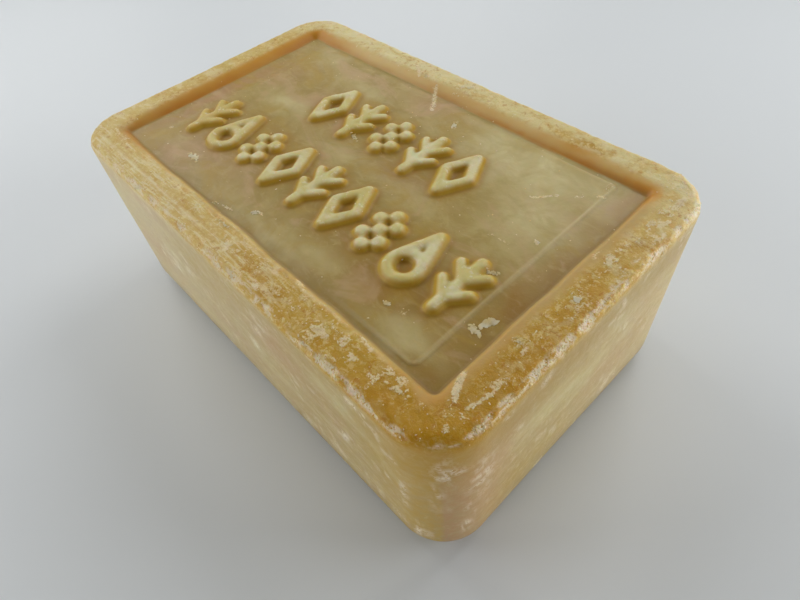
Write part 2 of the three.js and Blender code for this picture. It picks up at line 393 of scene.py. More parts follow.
# Scratches and crusted seams on the top, in millimetres: start x, y, end x, y, half width, amount.
SEAMS = (
    (8.5, -25.3, 12.8, -29.3, 0.45, 1.0), (40.1, -18.4, 41.6, -21.7, 0.4, 1.0),
    (27.5, -23.1, 33.8, -23.7, 0.28, 0.9), (14.3, -23, 17, -23.3, 0.3, 0.9),
    (26.5, 11.4, 29.5, 13.8, 0.28, 0.6), (30.6, 15, 34.6, 18.2, 0.3, 0.7),
    (34.5, 18.2, 33.6, 21.5, 0.35, 0.6), (-3.6, -18.6, -0.4, -18.2, 0.3, 0.7),
    (0, 17.6, -4.5, 23.6, 0.5, 0.6), (-12, 26, -9.6, 23.8, 0.35, 0.7),
    (44.2, -17, 43.4, -21.5, 0.25, 0.7), (41.4, -23.5, 43.6, -25, 0.3, 0.7),
    (5.2, 18.6, 6, 16.8, 0.4, 0.4), (27, 1, 30.4, 1.4, 0.25, 0.4), (-41, -23.8, -31, -24.4, 0.28, 0.6),
    (-10, -21.6, -6, -21, 0.25, 0.5),
)

# Chips out of the top edge, as in SEAMS.
CHIPS = (
    (20, -29.1, 24.5, -29.1, 0.4, 1.0), (27, -28.9, 32.5, -28.7, 0.4, 1.0),
    (10.5, -29.1, 13, -29.1, 0.4, 0.9), (-17, -29.2, -5, -29.2, 0.35, 0.9),
    (37, -28.6, 40, -28.2, 0.2, 0.6), (46.2, -16, 46.2, -2, 0.35, 0.8), (46.1, 1, 46.1, 6, 0.45, 0.9),
    (46, 9, 46, 12, 0.4, 0.8), (45.8, 19, 45.8, 21, 0.5, 0.9), (45.6, -21, 46, -18, 0.3, 0.8),
    (0, -29.2, 8, -29.2, 0.3, 0.7), (-44, -28, -18, -29.2, 0.3, 1.0),
)

# Tints and scuffs on the sides, in millimetres: x, y, z, reach along the side, reach in height, amount.
ROSY_SIDES = (
    (47, -22, 14, 5, 10, 0.7), (15, -30, 26, 9, 5, 0.8), (47, -20, 25, 6, 7, 0.9),
    (47, -10, 33, 9, 2.5, 0.8), (47, 10, 15, 8, 5, 0.6), (-30, -30, 16, 9, 5, 0.6),
    (-6, -30, 13, 8, 3, 0.5), (25, -30, 21, 4, 3, 0.6), (-22, -30, 33, 9, 2, 0.5),
    (47, 14, 30, 6, 4, 0.5), (-47, 5, 18, 10, 6, 0.5), (-10, 30, 20, 14, 6, 0.5),
)
OCHRE_SIDES = (
    (47, -10, 32, 14, 4, 0.8), (47, 12, 33, 12, 3.5, 0.7), (-9, -30, 27, 8, 5, 0.6),
    (36, -30, 22, 4, 6, 0.8), (43, -28.5, 12, 5, 7, 1.0), (47, -13, 10, 9, 4, 0.8),
    (47, 17, 17, 2.5, 5, 0.6), (4, -30, 32, 6, 2.5, 0.6), (-47, -12, 24, 8, 6, 0.4),
    (22, 30, 16, 12, 6, 0.5),
)
IVORY_SIDES = (
    (27, -30, 28, 5, 3, 0.9), (47, -9, 24, 7, 3.5, 1.0), (47, -2, 21, 8, 3, 0.7),
    (-20, -30, 21, 8, 4, 0.5), (-38, -30, 24, 7, 5, 0.6), (47, 8, 28, 5, 4, 0.5),
    (8, -30, 17, 7, 3, 0.5), (-47, 14, 28, 8, 4, 0.5),
)
SCUFFED_SIDES = (
    (45.4, -28.4, 4, 0.5, 4, 1.4), (45.2, -28.2, 13, 0.4, 3, 1.0), (46.8, -24.6, 9, 0.9, 1.8, 1.4),
    (41.5, -29.8, 7, 0.6, 4, 1.0), (27, -30, 18.5, 2.2, 2, 1.0), (7.5, -30, 26, 2.5, 1.2, 0.7),
    (5, -30, 18.5, 1.6, 1.6, 0.9), (16, -30, 14.5, 2.4, 0.8, 0.7), (-24, -30, 17, 4, 1, 0.6),
    (36.5, -30, 18, 0.8, 3.5, 0.9), (39.8, -29.8, 19, 0.7, 4, 1.0), (45.5, -27.5, 30, 1.6, 3, 0.8),
    (44.5, -28, 22, 1, 4, 0.8), (46.8, -23.8, 14.5, 0.8, 2.6, 1.0), (46.8, -22, 24, 2, 5, 0.7),
    (47, 8.5, 23.7, 1.2, 0.6, 1.6), (47, 5.5, 32, 1.6, 1.4, 0.6), (47, 1, 35, 1.4, 0.6, 0.8),
    (47, -15, 27, 0.8, 1.6, 0.5), (33, -30, 33, 5, 0.5, 0.7), (-30, 30, 12, 5, 1, 0.6),
    (-47, 18, 12, 2, 2, 0.6),
)


def spots(x, y, places):
    """Soft round patches, 0 to 1, with their middles at the places."""
    total = np.zeros(len(x))
    for middle_x, middle_y, reach_x, reach_y, amount in places:
        far = ((x / MM - middle_x) / reach_x) ** 2 + ((y / MM - middle_y) / reach_y) ** 2
        total = np.maximum(total, amount * np.exp(-far))
    return total


def lines(x, y, places):
    """Soft strokes, 0 to 1, along straight lines."""
    total = np.zeros(len(x))
    for start_x, start_y, end_x, end_y, half_width, amount in places:
        along_x, along_y = end_x - start_x, end_y - start_y
        from_x, from_y = x / MM - start_x, y / MM - start_y
        t = np.clip((from_x * along_x + from_y * along_y) / (along_x ** 2 + along_y ** 2), 0, 1)
        off = np.hypot(from_x - t * along_x, from_y - t * along_y)
        total = np.maximum(total, amount * np.exp(-(off / half_width) ** 2))
    return total


def side_spots(points, places):
    """Soft patches on the sides, 0 to 1, flattened to a reach along the side and a reach in height."""
    total = np.zeros(len(points))
    x, y, z = points.T / MM
    for middle_x, middle_y, middle_z, reach_along, reach_up, amount in places:
        far = ((x - middle_x) ** 2 + (y - middle_y) ** 2) / reach_along ** 2
        far += ((z - middle_z) / reach_up) ** 2
        total = np.maximum(total, amount * np.exp(-far))
    return total


class WearAndPaintedLight:
    """Where each point of the skin lies on the block, how worn, crusted and tinted it is, and where shade
    and highlights are painted, 0 to 1.

    The masks named in MASKS become point attributes that the material reads."""

    CORNER_REACH = 9 * MM
    WEDGE_HEIGHT = 20 * MM

    def __init__(self, points, is_top):
        self.points, self.is_top = points, is_top
        self.x, self.y, self.z = points.T
        self.make_noises()
        self.near = near_side(self.x, self.y)
        self.up = smooth(self.z, HEIGHT - 3 * MM, HEIGHT - 0.5 * MM)
        self.mark_recess()
        self.mark_edges()
        self.mark_near_corner()
        self.mark_crust()
        self.mark_tints_and_sheen()
        self.mark_sides()

    def make_noises(self):
        """Noises of several sizes. The bent places give the listed spots ragged outlines."""
        points, x, y = self.points, self.x, self.y
        long_side = np.abs(y) / HALF_WIDTH > np.abs(x) / HALF_LENGTH
        stretch = [1 + 1.4 * long_side, 1 + 1.4 * ~long_side, np.ones(len(x))]
        lengthwise = points / np.stack(stretch, axis=1)
        self.warp = clouds(points, 22 * MM, 2, 1)
        self.patches = clouds(points, 7 * MM, 3, 4)
        self.lumps = clouds(points, 1.6 * MM, 3, 2)
        self.grit = clouds(points, 0.7 * MM, 2, 6)
        self.flakes = clouds(lengthwise, 1.1 * MM, 3, 3)
        self.wobble = 0.3 * MM * clouds(points, 9 * MM, 2, 11)
        self.drift_x = clouds(points, 5 * MM, 3, 8)
        self.drift_y = clouds(points, 5 * MM, 3, 9)
        self.bent_x, self.bent_y = x + 1.6 * MM * self.drift_x, y + 1.2 * MM * self.drift_y
        self.clumps = smooth(self.flakes + 0.7 * self.grit, -0.1, 0.4)

    def mark_recess(self):
        """The rim, the recess wall with its darker amber foot, the painted shade in the crease along its
        near foot, and the ridges and the lip, which carry painted highlights.
        """
        x, y, is_top = self.x, self.y, self.is_top
        across = up_the_wall(x, y, self.wobble)
        # On the near wall the rim's colour reaches lower down.
        lower = 0.33 * smooth(-y, 17 * MM, 21 * MM) * smooth(RECESS_HALF_LENGTH - x, 0, 3 * MM)
        self.rim = smooth(across + 0.12 * self.lumps + lower * (1 + across), 0.45, 1.05) * self.up
        self.top = is_top * smooth(-across, -0.9, 0.05)
        self.wall = is_top * smooth(across, -0.04, 0.06) * smooth(-across, -1.25, -0.55)
        at_left = smooth(-x / HALF_LENGTH, 0.6, 0.82)
        at_back = smooth(y / HALF_WIDTH, 0.55, 0.72) * smooth(x, 0, 12 * MM)
        # The foot of the recess wall turns a darker, deeper amber, most at the left end and the back.
        foot_strength = (0.6 + 0.25 * at_left + 0.4 * at_back) * (0.8 + 0.4 * self.patches)
        far_side = 1 - smooth(x / HALF_LENGTH - y / HALF_WIDTH, 0, 0.5)
        deep = np.exp(-(np.maximum(across, 0) / (0.28 + 0.32 * at_left)) ** 1.4) * foot_strength * far_side
        self.foot = is_top * smooth(across, -0.06, 0.03) * deep
        # Painted shade: a dark line in the crease along the near foot of the recess wall.
        self.crease_shade = is_top * np.exp(-((across - 0.03) / 0.13) ** 2) * self.near
        unbroken = smooth(self.patches + 0.5 * self.lumps, -0.6, 0.2)
        self.ridge = is_top * ridge(across, x, y) * unbroken
        self.lip = is_top * panel_lip(x, outside_panel(x, y, self.wobble))

    def mark_edges(self):
        """The worn top edge and the chips out of it."""
        from_edge = -outline_distance(self.x, self.y, HALF_LENGTH, HALF_WIDTH, CORNER_RADIUS)
        off_edge = np.hypot(np.minimum(from_edge, 1), HEIGHT - self.z)
        crest = 1 - smooth(off_edge + 0.2 * MM * self.lumps, 0.75 * MM, 1.25 * MM)
        broken = smooth(self.flakes + 0.5 * self.patches + 0.15, 0.0, 0.3) * (0.15 + 0.8 * self.near)
        wide = 1 - smooth(off_edge, 1.5 * MM, 2.4 * MM)
        placed = lines(self.bent_x, self.bent_y, CHIPS) * self.clumps
        self.chip = np.maximum(crest * broken, wide * placed)
        self.edge = 1 - smooth(off_edge, 0.8 * MM, 2.2 * MM)

    def mark_near_corner(self):
        """The near upright corner: olive on its left, rosy on its right, with an amber wedge on top."""
        x, y, z = self.x, self.y, self.z
        from_corner = np.hypot(x - HALF_LENGTH, y + HALF_WIDTH)
        self.near_corner = np.exp(-(from_corner / self.CORNER_REACH) ** 2)
        self.worn = self.edge * (0.1 + 0.9 * self.near_corner)
        round_it = (x - HALF_LENGTH) + (y + HALF_WIDTH) + 0.4 * MM * self.lumps
        below_rim = self.near_corner * smooth(HEIGHT - z, 1 * MM, 8 * MM)
        self.corner_olive = below_rim * smooth(-round_it, -0.3 * MM, 0.3 * MM)
        self.corner_rosy = below_rim * smooth(round_it, -0.3 * MM, 0.3 * MM)
        wedge = np.clip((z - (HEIGHT - self.WEDGE_HEIGHT)) / self.WEDGE_HEIGHT, 0, 1)
        self.corner_amber = wedge ** 0.8 * np.exp(-(from_corner / ((2 + 7 * wedge) * MM)) ** 2)

    def mark_crust(self):
        """Whitish dried soap: crusts on the rim, and seams and scratches on the top."""
        bloom = 0.85 * spots(self.bent_x, self.bent_y, BLOOM_SPOTS) * self.clumps
        rough = smooth(self.grit + self.lumps, 0.1, 0.5)
        bloom += 0.28 * self.rim * self.near * (1 - self.near_corner) * rough
        seams = lines(self.x + 0.5 * MM * self.drift_x, self.y + 0.5 * MM * self.drift_y, SEAMS)
        seams = seams * smooth(self.flakes, -0.5, 0.1)
        self.bloom = np.clip(np.maximum(bloom * self.up, self.is_top * seams), 0, 1)

    def mark_tints_and_sheen(self):
        """Amber on the rim, and pale, pink and brown clouds on the recess floor. The two largest pale
        clouds are painted sheen.
        """
        x, y, is_top = self.bent_x, self.bent_y, self.is_top
        self.amber = np.clip(spots(x, y, AMBER_SPOTS) + 0.35 * self.rim * self.patches, 0, 1)
        self.pale = is_top * spots(x, y, PALE_AND_SHEEN_CLOUDS)
        self.pink = is_top * spots(x, y, PINK_CLOUDS)
        self.brown = is_top * spots(x, y, BROWN_CLOUDS)

    def mark_sides(self):
        """Rosy, ochre and ivory clouds on the sides, and pale scuffs."""
        side = 1 - smooth(self.z, HEIGHT - 3 * MM, HEIGHT - 1 * MM)
        drift = np.stack([self.drift_x, self.drift_x, 0.6 * self.drift_y], axis=1)
        bent = self.points + 3 * MM * drift
        self.rosy = side * side_spots(bent, ROSY_SIDES)
        self.ochre = side * side_spots(bent, OCHRE_SIDES)
        self.ivory = side * side_spots(bent, IVORY_SIDES)
        scratched = smooth(self.flakes + 0.3 * self.grit, -0.05, 0.25)
        stray = 0.4 * smooth(self.patches, 0.25, 0.55)
        placed = side_spots(self.points, SCUFFED_SIDES)
        self.scuff = np.clip(side * (placed + stray) * scratched, 0, 1)

    def mark_relief(self, raised, spread, steep):
        """The ornaments' backs, the painted shade in the hollows in and round them, and their steep flanks,
        whose amber is partly painted shade.
        """
        self.raised = np.clip(raised / RELIEF_HEIGHT, 0, 1)
        # Painted shade round the ornaments' feet and in the hollows between them.
        self.hollow_shade = np.clip((spread - 0.8 * raised) / (0.32 * MM), 0, 1)
        # Amber on the steep flanks, partly painted shade.
        self.flank_amber_and_shade = smooth(steep, 0.25, 0.95)

    def move(self):
        """How far each point lies outside the unworn surface.

        It is mostly negative, as soap wears away. The amounts are in millimetres."""
        away = 0.08 * self.warp - 0.15
        away += self.rim * (0.06 * self.lumps - 0.08 * self.amber + 0.03 * self.grit)
        away += 0.015 * self.lumps
        away += self.bloom * (0.09 * self.grit + 0.05)
        away -= self.worn * 0.25
        away -= self.chip * (0.10 + 0.2 * np.abs(self.grit))
        away += self.scuff * (0.05 * self.grit + 0.02)
        return away * MM


# Masks that the material reads as point attributes.
MASKS = (
    "rim", "wall", "foot", "crease_shade", "ridge", "lip", "top", "chip", "bloom", "amber", "pale", "pink",
    "brown", "scuff", "rosy", "ochre", "ivory", "corner_olive", "corner_rosy", "corner_amber",
    "raised", "hollow_shade", "flank_amber_and_shade",
)


def store(mesh, name, values):
    """Adds a mask to the mesh as a point attribute."""
    mesh.attributes.new(name, "FLOAT", "POINT").data.foreach_set("value", np.asarray(values, np.float32))


def add_mesh_object(name, points, faces):
    mesh = bpy.data.meshes.new(name)
    mesh.from_pydata(points, [], faces)
    mesh.update()
    made = bpy.data.objects.new(name, mesh)
    bpy.context.scene.collection.objects.link(made)
    return made


def soap_skin():
    """The block's whole outer surface as one mesh, ornaments included. Returns the piece and its masks of
    wear and painted light.
    """
    skin = Skin()
    points = np.array(skin.points)
    normals = np.array(skin.normals)
    relief = Relief()
    x, y, z = points.T
    is_top = np.arange(len(points)) < skin.top_count
    raised = np.where(is_top, relief.sample(relief.crisp, x, y), 0)
    spread = np.where(is_top, relief.sample(relief.wide, x, y), 0)
    steep = np.where(is_top, relief.sample(relief.slope, x, y), 0)
    wear_and_painted_light = WearAndPaintedLight(points, is_top)
    wear_and_painted_light.mark_relief(raised, spread, steep)
    on_base = z < 0.1 * MM
    move = np.where(on_base, 0, wear_and_painted_light.move())
    top_shape = profile(x, y, wear_and_painted_light.wobble) + raised * (1 + 0.10 * wear_and_painted_light.lumps)
    points = points + normals * move[:, None]
    points[:, 2] += np.where(is_top, top_shape, 0)
    points = np.clip(points, block_low, block_high)
    bar = add_mesh_object("soap_bar", points.tolist(), skin.faces)
    for polygon in bar.data.polygons:
        polygon.use_smooth = True
    for name in MASKS:
        store(bar.data, name, getattr(wear_and_painted_light, name))
    return bar, wear_and_painted_light


# ---------------------------------------------------------------- crumbs

CRUMB_COUNT = 2600
CRUMB_RADII = (0.04 * MM, 0.16 * MM)

# Each corner of a lump is drawn in or out by a factor between these, and lumps turn by up to about one
# turn, in radians.
LUMP_UNEVENNESS = (0.6, 1.25)
ONE_TURN = 6.3

# Larger flakes that lie on the top, in millimetres: x, y, length, width, turn in degrees.
FLAKES = (
    (-22.9, -18, 3.2, 1.1, 6), (-3, -23.9, 3.6, 0.6, 2), (33, 4.2, 0.8, 0.6, 20),
    (36.2, -12.4, 1.8, 1.2, 10), (37, -10.6, 0.5, 1.8, -12), (-34.4, -15.9, 1.0, 0.5, 0),
    (-2.6, -18.9, 1.2, 0.6, 15), (25.6, -17, 1.3, 0.6, 12), (5.6, 17.2, 1.2, 0.6, -50),
    (32.4, -3.9, 1.0, 0.7, 30), (31.6, -4.3, 0.7, 0.5, 0), (-8.4, 24.8, 1.2, 0.6, -50),
    (-5.4, 4, 2.0, 0.7, -20), (41.9, -10.8, 1.4, 0.5, 8), (43.2, -1.1, 0.7, 1.0, 20),
)
FLAKE_GRAINS = 26
FLAKE_THICKNESS = 0.07 * MM


def jagged_ball(middle, turn, radii, points, faces):
    """Adds an irregular lump of 20 faces, with its three radii along its own turned axes."""
    lump = bmesh.new()
    bmesh.ops.create_icosphere(lump, subdivisions=1, radius=1)
    first = len(points)
    for vertex in lump.verts:
        shape = vertex.co * rng.uniform(*LUMP_UNEVENNESS)
        points.append(middle + turn @ Vector(shape[k] * radii[k] for k in range(3)))
    faces.extend([first + vertex.index for vertex in face.verts] for face in lump.faces)
    lump.free()


def flake_grains(tree, points, faces):
    """Builds each flake as a flat heap of small grains, so that its outline is ragged."""
    for x, y, length, width, angle in FLAKES:
        turned = Euler((0, 0, math.radians(angle))).to_quaternion()
        for _ in range(FLAKE_GRAINS):
            along, aside = rng.gauss(0, length / 4), rng.gauss(0, width / 4)
            start = Vector((x, y, 0)) * MM + turned @ Vector((along, aside, 0)) * MM
            place = tree.ray_cast(start + Vector((0, 0, 2 * HEIGHT)), Vector((0, 0, -1)))[0]
            spin = Euler((0, 0, rng.uniform(0, ONE_TURN))).to_quaternion()
            size = width * rng.uniform(0.12, 0.3) * MM
            jagged_ball(place, spin, (size * rng.uniform(1, 1.8), size, FLAKE_THICKNESS), points, faces)


def soap_crumbs(bar, wear_and_painted_light):
    """Dried crumbs and flakes that cling to the crusted parts of the soap."""
    points, faces = [], []
    weight = 1.6 * wear_and_painted_light.bloom ** 1.5 + 0.6 * wear_and_painted_light.chip ** 2 + 0.02 * wear_and_painted_light.rim + 0.003 * wear_and_painted_light.top
    weight += 0.25 * wear_and_painted_light.scuff ** 2
    weight += 0.02 * wear_and_painted_light.raised + 0.1 * wear_and_painted_light.ridge
    vertices = bar.data.vertices
    for number in rng.choices(range(len(weight)), weight.tolist(), k=CRUMB_COUNT):
        radius = rng.triangular(*CRUMB_RADII, CRUMB_RADII[0])
        spin = Euler((0, 0, rng.uniform(0, ONE_TURN))).to_quaternion()
        turn = vertices[number].normal.to_track_quat("Z", "Y") @ spin
        radii = (radius * rng.uniform(0.9, 2.2), radius, radius * 0.5)
        jagged_ball(vertices[number].co, turn, radii, points, faces)
    flake_grains(BVHTree.FromObject(bar, bpy.context.evaluated_depsgraph_get()), points, faces)
    points = np.clip(points, block_low, block_high)
    return add_mesh_object("soap_crumbs", points.tolist(), faces)


# ---------------------------------------------------------------- materials

class Graph:
    """Short calls for building a material's nodes."""

    def __init__(self, name):
        self.material = bpy.data.materials.new(name)
        self.material.use_nodes = True
        self.tree = self.material.node_tree
        self.shader = self.tree.nodes["Principled BSDF"]
        self.place = self.tree.nodes.new("ShaderNodeTexCoord").outputs["Object"]

    def node(self, kind, settings=(), **inputs):
        """A new node. The inputs are named with _ for each space, and given a value or a socket."""
        made = self.tree.nodes.new(kind)
        for key, value in dict(settings).items():
            setattr(made, key, value)
        for key, value in inputs.items():
            self.feed(made.inputs[key.replace("_", " ")], value)
        return made

    def feed(self, socket, value):
        if isinstance(value, bpy.types.NodeSocket):
            self.tree.links.new(value, socket)
        else:
            socket.default_value = value

    def math(self, operation, a, b=0.0):
        made = self.tree.nodes.new("ShaderNodeMath")
        made.operation = operation
        self.feed(made.inputs[0], a)
        self.feed(made.inputs[1], b)
        return made.outputs[0]

    def times(self, *factors):
        product = factors[0]
        for factor in factors[1:]:
            product = self.math("MULTIPLY", product, factor)
        return product

    def plus(self, a, b):
        return self.math("ADD", a, b)

    def attribute(self, name):
        return self.node("ShaderNodeAttribute", {"attribute_name": name}).outputs["Fac"]

    def distance(self, point):
        made = self.node("ShaderNodeVectorMath", {"operation": "DISTANCE"})
        self.feed(made.inputs[0], self.place)
        made.inputs[1].default_value = point
        return made.outputs["Value"]

    def height_along(self, axis):
        """The object coordinate along X, Y or Z."""
        return self.node("ShaderNodeSeparateXYZ", Vector=self.place).outputs[axis]

    def stretched(self, stretch):
        made = self.node("ShaderNodeMapping", Vector=self.place)
        made.inputs["Scale"].default_value = [1 / s for s in stretch]
        return made.outputs["Vector"]

    def noise(self, size, detail, roughness, stretch=None, distortion=0.0):
        """Fractal noise with lumps of the given size, drawn out along the axes by the stretch."""
        place = self.stretched(stretch) if stretch else self.place
        made = self.node("ShaderNodeTexNoise", Vector=place, Scale=1 / size, Detail=detail,
                         Roughness=roughness, Distortion=distortion)
        return made.outputs["Fac"]

    def threads(self, size, width):
        """Thin wandering threads, 0 to 1: the places where a noise crosses its middle value."""
        off = self.math("ABSOLUTE", self.plus(self.noise(size, 2.5, 0.6, distortion=1.0), -0.5))
        return self.ramp(off, 0.0, width, 1.0, 0.0)

    def ramp(self, value, low, high, to_low=0.0, to_high=1.0):
        """A smooth change from to_low at or beyond low, to to_high at or beyond high."""
        made = self.node("ShaderNodeMapRange", {"interpolation_type": "SMOOTHSTEP"}, Value=value)
        for key, number in (("From Min", low), ("From Max", high), ("To Min", to_low), ("To Max", to_high)):
            made.inputs[key].default_value = number
        return made.outputs["Result"]

    def mix(self, factor, first, second):
        made = self.tree.nodes.new("ShaderNodeMix")
        made.data_type = "RGBA"
        self.feed(made.inputs["Factor"], factor)
        self.feed(made.inputs["A"], first)
        self.feed(made.inputs["B"], second)
        return made.outputs["Result"]


def srgb(red, green, blue):
    """A colour given in screen values of 0 to 255, as linear light."""
    def linear(value):
        value /= 255
        return value / 12.92 if value <= 0.04045 else ((value + 0.055) / 1.055) ** 2.4
    return (linear(red), linear(green), linear(blue), 1.0)


def rim_colour(g, medium, small):
    """Honey to deep amber towards the near corner, with paler threads and fibres. The paling away from that
    corner is partly the soap's own colour and partly painted sheen, and the back rim is paler still from
    painted sheen.
    """
    away = g.distance(NEAR_CORNER)
    # Partly the soap's own colour, partly painted sheen: deep amber at the near corner, paler away from it.
    colour = g.mix(g.ramp(away, 5 * MM, 26 * MM), srgb(190, 142, 4), srgb(202, 162, 48))
    colour = g.mix(g.ramp(away, 24 * MM, 50 * MM), colour, srgb(216, 184, 102))
    colour = g.mix(g.ramp(away, 44 * MM, 78 * MM), colour, srgb(218, 192, 112))
    # Painted sheen: the back rim is paler.
    colour = g.mix(g.ramp(g.height_along(1), 14 * MM, 27 * MM, 0.0, 0.8), colour, srgb(228, 214, 154))
    deep = g.plus(g.attribute("amber"), g.ramp(small, 0.35, 0.7, -0.2, 0.2))
    colour = g.mix(g.ramp(deep, 0.15, 0.95, 0.0, 0.85), colour, srgb(192, 142, 6))
    fibre = g.noise(0.6 * MM, 4, 0.75, stretch=(1.5, 1.5, 1), distortion=0.25)
    patchy = g.noise(2.8 * MM, 4, 0.6, stretch=(1.5, 1, 1), distortion=0.6)
    colour = g.mix(g.ramp(patchy, 0.5, 0.64, 0.0, 0.5), colour, srgb(206, 160, 52))
    distant = g.ramp(away, 12 * MM, 40 * MM, 0.1, 0.45)
    colour = g.mix(g.times(g.ramp(patchy, 0.47, 0.36), distant), colour, srgb(236, 224, 176))
    busy = g.ramp(away, 5 * MM, 26 * MM, 0.15, 0.6)
    colour = g.mix(g.times(g.ramp(fibre, 0.51, 0.62), busy), colour, srgb(236, 216, 150))
    streak = g.noise(0.5 * MM, 3, 0.65, stretch=(10, 1, 1), distortion=0.2)
    on_near_rim = g.times(g.ramp(g.height_along(1), -22 * MM, -25 * MM),
                          g.ramp(g.height_along(0), 26 * MM, 6 * MM))
    colour = g.mix(g.times(g.ramp(streak, 0.53, 0.62), on_near_rim, 0.6), colour, srgb(240, 226, 180))
    colour = g.mix(g.times(g.ramp(streak, 0.46, 0.38), on_near_rim, 0.35), colour, srgb(196, 146, 48))
    pitted = g.noise(0.9 * MM, 4, 0.7, distortion=0.6)
    pits = g.times(g.ramp(pitted, 0.54, 0.64), g.ramp(medium, 0.38, 0.56))
    colour = g.mix(g.times(pits, 0.6), colour, srgb(184, 122, 14))
    broken = g.ramp(medium, 0.44, 0.6)
    threads = g.times(g.threads(1.5 * MM, 0.05), broken)
    colour = g.mix(g.times(threads, 0.2), colour, srgb(236, 216, 160))
    # Painted highlight along the fine ridges.
    return g.mix(g.times(g.attribute("ridge"), 0.7), colour, srgb(238, 222, 172))


def panel_colour(g, medium, small):
    """Brownish olive floor with pale, pink and brown clouds. The pale clouds are partly the soap's own
    colour and partly painted sheen.
    """
    colour = g.mix(g.ramp(medium, 0.32, 0.68), srgb(170, 145, 72), srgb(182, 158, 92))
    mottle = g.ramp(medium, 0.3, 0.7, 0.55, 1.0)
    # The pale clouds are partly paler soap and partly painted sheen at the back right of the panel.
    clouded = {"pink": srgb(188, 144, 104), "brown": srgb(160, 118, 32), "pale": srgb(220, 208, 154)}
    for name, tint in clouded.items():
        colour = g.mix(g.times(g.attribute(name), mottle), colour, tint)
    fine = g.noise(2.2 * MM, 4, 0.65, stretch=(1.8, 1, 1), distortion=1.0)
    colour = g.mix(g.ramp(fine, 0.5, 0.7, 0.0, 0.35), colour, srgb(204, 182, 122))
    stain = g.noise(9 * MM, 4, 0.6, stretch=(1.6, 1, 1), distortion=1.2)
    clean = g.ramp(g.attribute("pale"), 0.0, 0.8, 1.0, 0.3)
    colour = g.mix(g.times(g.ramp(stain, 0.5, 0.66, 0.0, 0.6), clean), colour, srgb(182, 150, 58))
    colour = g.mix(g.times(g.ramp(stain, 0.46, 0.32, 0.0, 0.6), clean), colour, srgb(202, 168, 124))
    colour = g.mix(g.ramp(small, 0.64, 0.74, 0.0, 0.35), colour, srgb(214, 194, 140))
    # Painted highlight along the panel's lip.
    return g.mix(g.times(g.attribute("lip"), 0.7), colour, srgb(220, 204, 154))


def side_colour(g, medium, small):
    """Tan sides with long soft streaks, rosy, ochre and ivory clouds, pale scratches, and painted shade
    towards the foot.
    """
    away = g.distance(NEAR_CORNER)
    colour = g.mix(g.ramp(away, 5 * MM, 85 * MM), srgb(188, 160, 98), srgb(208, 188, 142))
    streak = g.noise(3.2 * MM, 4, 0.62, stretch=(5, 5, 1), distortion=0.9)
    colour = g.mix(g.ramp(streak, 0.42, 0.7, 0.0, 0.55), colour, srgb(216, 200, 152))
    mottle = g.ramp(streak, 0.3, 0.62, 0.45, 1.0)
    clouded = {"rosy": srgb(196, 154, 112), "ochre": srgb(186, 154, 62), "ivory": srgb(212, 200, 146)}
    for name, tint in clouded.items():
        colour = g.mix(g.times(g.attribute(name), mottle, 0.75), colour, tint)
    colour = g.mix(g.ramp(medium, 0.55, 0.72, 0.0, 0.4), colour, srgb(214, 196, 138))
    fine = g.noise(0.9 * MM, 4, 0.65, stretch=(2.5, 2.5, 1.5), distortion=1.5)
    colour = g.mix(g.ramp(fine, 0.52, 0.7, 0.0, 0.45), colour, srgb(224, 208, 162))
    colour = g.mix(g.ramp(fine, 0.46, 0.3, 0.0, 0.3), colour, srgb(180, 150, 84))
    # Painted shade: the sides darken towards the foot, where the block meets the floor.
    colour = g.mix(g.ramp(g.height_along(2), 1 * MM, 9 * MM, 0.6, 0.0), colour, srgb(146, 124, 74))
    on_end = g.ramp(g.height_along(0), HALF_LENGTH - 2 * MM, HALF_LENGTH)
    under_rim = g.ramp(g.height_along(2), HEIGHT - 13 * MM, HEIGHT - 5 * MM)
    colour = g.mix(g.times(on_end, under_rim, 0.5), colour, srgb(172, 144, 90))
    blotched = g.ramp(small, 0.35, 0.6, 0.35, 0.85)
    colour = g.mix(g.times(g.attribute("corner_olive"), blotched), colour, srgb(202, 164, 74))
    colour = g.mix(g.times(g.attribute("corner_rosy"), blotched), colour, srgb(198, 154, 108))
    colour = g.mix(g.attribute("corner_amber"), colour, srgb(190, 144, 22))
    scratch = g.noise(0.6 * MM, 4, 0.65, stretch=(1.6, 1.6, 1.6), distortion=1.6)
    marks = g.times(g.attribute("scuff"), g.ramp(scratch, 0.38, 0.52))
    return g.mix(marks, colour, srgb(248, 238, 212))


def relief_colour(g, floor, medium, small):
    """Ornaments with pale backs, amber flanks that are partly painted shade, and painted amber shade at
    their feet and in the hollows between them.
    """
    raised = g.attribute("raised")
    # Painted shade at the ornaments' feet and in the hollows between them.
    colour = g.mix(g.times(g.attribute("hollow_shade"), 0.9), floor, srgb(176, 130, 26))
    colour = g.mix(g.ramp(raised, 0.04, 0.3), colour, srgb(192, 156, 52))
    ivory = g.mix(g.ramp(medium, 0.35, 0.65), srgb(212, 198, 124), srgb(224, 216, 168))
    honey = g.ramp(g.height_along(0), -33 * MM, -16 * MM, 0.65, 0.0)
    ivory = g.mix(g.times(honey, g.ramp(medium, 0.3, 0.6, 0.5, 1.0)), ivory, srgb(206, 170, 60))
    colour = g.mix(g.ramp(raised, 0.4, 0.9), colour, ivory)
    # Amber on the steep flanks: partly the soap's own colour, partly painted shade.
    colour = g.mix(g.times(g.attribute("flank_amber_and_shade"), 0.5), colour, srgb(190, 150, 40))
    specks = g.times(g.ramp(small, 0.56, 0.66), g.ramp(raised, 0.6, 0.9))
    return g.mix(g.times(specks, 0.6), colour, srgb(232, 224, 192))


